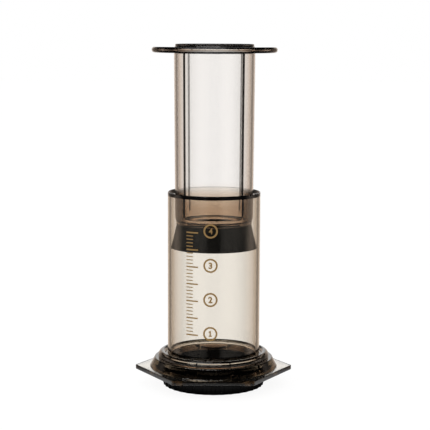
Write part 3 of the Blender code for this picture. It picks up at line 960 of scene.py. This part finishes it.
def ring_shape(bm, radius, line):
    inner = []
    outer = []
    for angle in even_angles(RING_STEPS):
        x, y = math.cos(angle), math.sin(angle)
        inner.append(bm.verts.new(((radius - line) * x, (radius - line) * y, 0)))
        outer.append(bm.verts.new((radius * x, radius * y, 0)))
    for i in range(RING_STEPS):
        j = (i + 1) % RING_STEPS
        bm.faces.new((inner[i], inner[j], outer[j], outer[i]))


def one_shape(bm):
    """A plain figure one with a flag and a foot."""
    across = DIGIT_H / 2
    stem = DIGIT_LINE / 2
    foot = DIGIT_H / 4
    flag = DIGIT_H / 5
    low = DIGIT_LINE - across
    blocks = (
        ((-foot, -across), (foot, -across), (foot, low), (-foot, low)),
        ((-stem, low), (stem, low), (stem, across), (-stem, across)),
        (
            (-foot, across - flag - DIGIT_LINE),
            (-stem, across - DIGIT_LINE),
            (-stem, across),
            (-foot, across - flag),
        ),
    )
    for block in blocks:
        bm.faces.new([bm.verts.new((x, y, 0)) for x, y in block])


def digit_shape(bm, text, bold):
    """A plain digit, centred, from Blender's own font."""
    curve = bpy.data.curves.new("digit_" + text, "FONT")
    curve.body = text
    curve.size = DIGIT_H / DIGIT_FONT_SHARE
    curve.resolution_u = DIGIT_STEPS
    curve.offset = bold
    holder = bpy.data.objects.new("digit_" + text, curve)
    bpy.context.scene.collection.objects.link(holder)
    graph = bpy.context.evaluated_depsgraph_get()
    mesh = bpy.data.meshes.new_from_object(holder.evaluated_get(graph))
    first = len(bm.verts)
    bm.from_mesh(mesh)
    bm.verts.ensure_lookup_table()
    made = bm.verts[first:]
    middle_x = (min(v.co.x for v in made) + max(v.co.x for v in made)) / 2
    middle_y = (min(v.co.y for v in made) + max(v.co.y for v in made)) / 2
    bmesh.ops.translate(bm, verts=made, vec=(-middle_x, -middle_y, 0))
    bpy.data.objects.remove(holder, do_unlink=True)
    bpy.data.curves.remove(curve)
    bpy.data.meshes.remove(mesh)


def make_volume_marks(material):
    """Plain circled numbers up the front of the chamber."""
    for i in range(MARK_COUNT):
        bm = bmesh.new()
        ring_shape(bm, MARK_R, MARK_LINE)
        if i == 0:
            one_shape(bm)
        else:
            digit_shape(bm, str(i + 1), DIGIT_BOLD[i - 1])
        bmesh.ops.remove_doubles(bm, verts=bm.verts[:], dist=PRINT_WELD)
        thicken(bm)
        wrap_flat(bm, MARK_AZIMUTH, MARK_FIRST_Z + MARK_STEP_Z * i)
        mark = link_mesh("volume_mark_" + str(i + 1), bm, material)
        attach(mark, "chamber_body")


def make_scale(material):
    """A plain graduated scale of ticks beside the numbers."""
    bm = bmesh.new()
    pitch = MARK_STEP_Z / TICKS_A_MARK
    count = int((SCALE_HIGH_Z - SCALE_LOW_Z) / pitch) + 1
    left = -LONG_TICK_L / 2
    for i in range(count):
        height = SCALE_LOW_Z + pitch * i
        is_long = i % LONG_TICK_EVERY == 0
        right = left + (LONG_TICK_L if is_long else SHORT_TICK_L)
        half = (LONG_TICK_W if is_long else SHORT_TICK_W) / 2
        low, high = height - half, height + half
        corners = ((left, low), (right, low), (right, high), (left, high))
        bm.faces.new([bm.verts.new((x, y, 0)) for x, y in corners])
    thicken(bm)
    wrap_flat(bm, SCALE_AZIMUTH, 0.0)
    scale = link_mesh("volume_scale", bm, material)
    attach(scale, "chamber_body")


def make_camera():
    camera = bpy.data.cameras.new("camera")
    camera.sensor_width = SENSOR_MM
    camera.lens = SENSOR_MM * FOCAL_PX / PICTURE_PX
    camera.clip_start = CLIP_START
    holder = bpy.data.objects.new("camera", camera)
    holder.location = (CAMERA_RIGHT, -CAMERA_BACK, CAMERA_UP)
    holder.rotation_euler = (math.radians(90 - CAMERA_PITCH_DEG), math.radians(CAMERA_ROLL_DEG), 0)
    bpy.context.scene.collection.objects.link(holder)
    bpy.context.scene.camera = holder


def mirror_rays(nodes, path):
    """1 for the rays that gloss and glass send out."""
    glossy = path.outputs["Is Glossy Ray"]
    return nodes.value("MAXIMUM", glossy, path.outputs["Is Transmission Ray"])


def make_world():
    """White to the eye. Gloss and glass see a bright screen at the back and a dark camera side."""
    world = bpy.data.worlds.new("studio")
    world.use_nodes = True
    nodes = Nodes(world.node_tree)
    out = nodes.add("ShaderNodeOutputWorld")
    background = nodes.add("ShaderNodeBackground")
    coords = nodes.add("ShaderNodeTexCoord")
    split = nodes.add("ShaderNodeSeparateXYZ")
    nodes.link(coords.outputs["Generated"], split.inputs["Vector"])
    path = nodes.add("ShaderNodeLightPath")
    sideways = nodes.value("ABSOLUTE", split.outputs["X"])
    screen = nodes.stops(sideways, SCREEN_STOPS)
    tint = nodes.mix_colour(nodes.ramp(sideways, *WARM_SPREAD), grey(1.0), WARM_SIDES)
    screen = nodes.blend("MULTIPLY", screen, tint)
    front = nodes.stops(sideways, FRONT_STOPS)
    through = nodes.mix_colour(path.outputs["Is Transmission Ray"], grey(0.0), THROUGH_TINT)
    through = nodes.blend("MULTIPLY", nodes.stops(sideways, THROUGH_STOPS), through)
    front = nodes.blend("ADD", front, through)
    around = nodes.mix_colour(nodes.stops(split.outputs["Y"], SIDE_STOPS), front, screen)
    studio = nodes.blend("MULTIPLY", around, nodes.stops(split.outputs["Z"], HEIGHT_STOPS))
    studio = nodes.blend("ADD", studio, grey(STUDIO_LEAST))
    light = nodes.mix_colour(mirror_rays(nodes, path), grey(MATT_LIGHT), studio)
    light = nodes.mix_colour(path.outputs["Is Camera Ray"], light, grey(1.0))
    nodes.link(light, background.inputs["Color"])
    nodes.link(background.outputs["Background"], out.inputs["Surface"])
    bpy.context.scene.world = world


def make_floor():
    """A pale floor that keeps a soft shadow. Gloss and glass see the studio in its place, except
    near the object, where they see the floor with a painted shadow: its glow fades out under the
    object.
    """
    bm = bmesh.new()
    corners = ((-1, -1), (1, -1), (1, 1), (-1, 1))
    bm.faces.new([bm.verts.new((FLOOR_HALF * x, FLOOR_HALF * y, FLOOR_Z)) for x, y in corners])
    material, nodes = new_material("studio_floor")
    out = nodes.add("ShaderNodeOutputMaterial")
    matt = nodes.add("ShaderNodeBsdfDiffuse")
    matt.inputs["Color"].default_value = (*grey(FLOOR_GREY), 1.0)
    glow = nodes.add("ShaderNodeEmission")
    path = nodes.add("ShaderNodeLightPath")
    coords = nodes.add("ShaderNodeTexCoord")
    reach = nodes.add("ShaderNodeVectorMath", operation="LENGTH")
    nodes.link(coords.outputs["Object"], reach.inputs[0])
    mirror = mirror_rays(nodes, path)
    # Painted shadow: the glow that gloss and glass see fades out under the object
    seen = nodes.value("MULTIPLY", mirror, nodes.ramp(reach.outputs["Value"], *FLOOR_SHADOW_PAINT_REACH))
    seen = nodes.value("MULTIPLY", seen, FLOOR_MIRROR_GLOW)
    straight = nodes.value("MULTIPLY", path.outputs["Is Camera Ray"], FLOOR_GLOW)
    nodes.link(nodes.value("MAXIMUM", seen, straight), glow.inputs["Strength"])
    both = nodes.add("ShaderNodeAddShader")
    nodes.link(matt.outputs["BSDF"], both.inputs[0])
    nodes.link(glow.outputs["Emission"], both.inputs[1])
    clear = nodes.add("ShaderNodeBsdfTransparent")
    mirror = nodes.value("MULTIPLY", mirror, nodes.ramp(reach.outputs["Value"], *FLOOR_CLEAR_REACH))
    underside = nodes.add("ShaderNodeNewGeometry").outputs["Backfacing"]
    mix = nodes.add("ShaderNodeMixShader")
    nodes.link(nodes.value("MAXIMUM", mirror, underside), mix.inputs["Fac"])
    nodes.link(both.outputs["Shader"], mix.inputs[1])
    nodes.link(clear.outputs["BSDF"], mix.inputs[2])
    nodes.link(mix.outputs["Shader"], out.inputs["Surface"])
    floor = link_mesh("studio_floor", bm, material)


def make_lamp():
    """A wide soft lamp overhead."""
    lamp = bpy.data.lights.new("top_box", "AREA")
    lamp.shape = "DISK"
    lamp.size = LAMP_SIZE
    lamp.energy = LAMP_POWER
    holder = bpy.data.objects.new("top_box", lamp)
    holder.location = LAMP_PLACE
    aim = Vector(LAMP_AIM) - holder.location
    holder.rotation_euler = aim.to_track_quat("-Z", "Y").to_euler()
    bpy.context.scene.collection.objects.link(holder)


def main():
    bpy.context.scene.view_settings.view_transform = "Standard"
    # Painted shade: darker tints laid on the plastics in these places
    smoked_shade_places = [
        (bore_shade_share, BORE_SHADE),
        (skirt_shade_share, SKIRT_SHADE),
        (edge_shade_share, EDGE_SHADE),
        (bead_shade_share, BEAD_SHADE),
    ]
    clear_shade_places = [
        (shoulder_shade_share, SHOULDER_SHADE),
        (side_depth_and_shade_share, SIDE_DEPTH_AND_SHADE),
        (rim_shade_share, RIM_SHADE),
        (collar_shade_share, COLLAR_SHADE),
        (rib_shade_share, RIB_SHADE),
    ]
    smoked = clear_plastic(
        "smoked_clear_plastic", SMOKED_TINT, SMOKED_DENSITY, SMOKED_ABSORBED, smoked_shade_places
    )
    clear = clear_plastic(
        "clear_grey_plastic", CLEAR_TINT, CLEAR_DENSITY, CLEAR_ABSORBED, clear_shade_places
    )
    make_camera()
    make_world()
    make_lamp()
    make_floor()
    make_chamber(smoked)
    make_plunger(clear)
    make_seal(opaque_material("seal_rubber", RUBBER))
    make_cap(opaque_material("black_plastic", BLACK_PLASTIC))
    ink = opaque_material("gold_print", GOLD_INK)
    make_volume_marks(ink)
    make_scale(ink)


main()
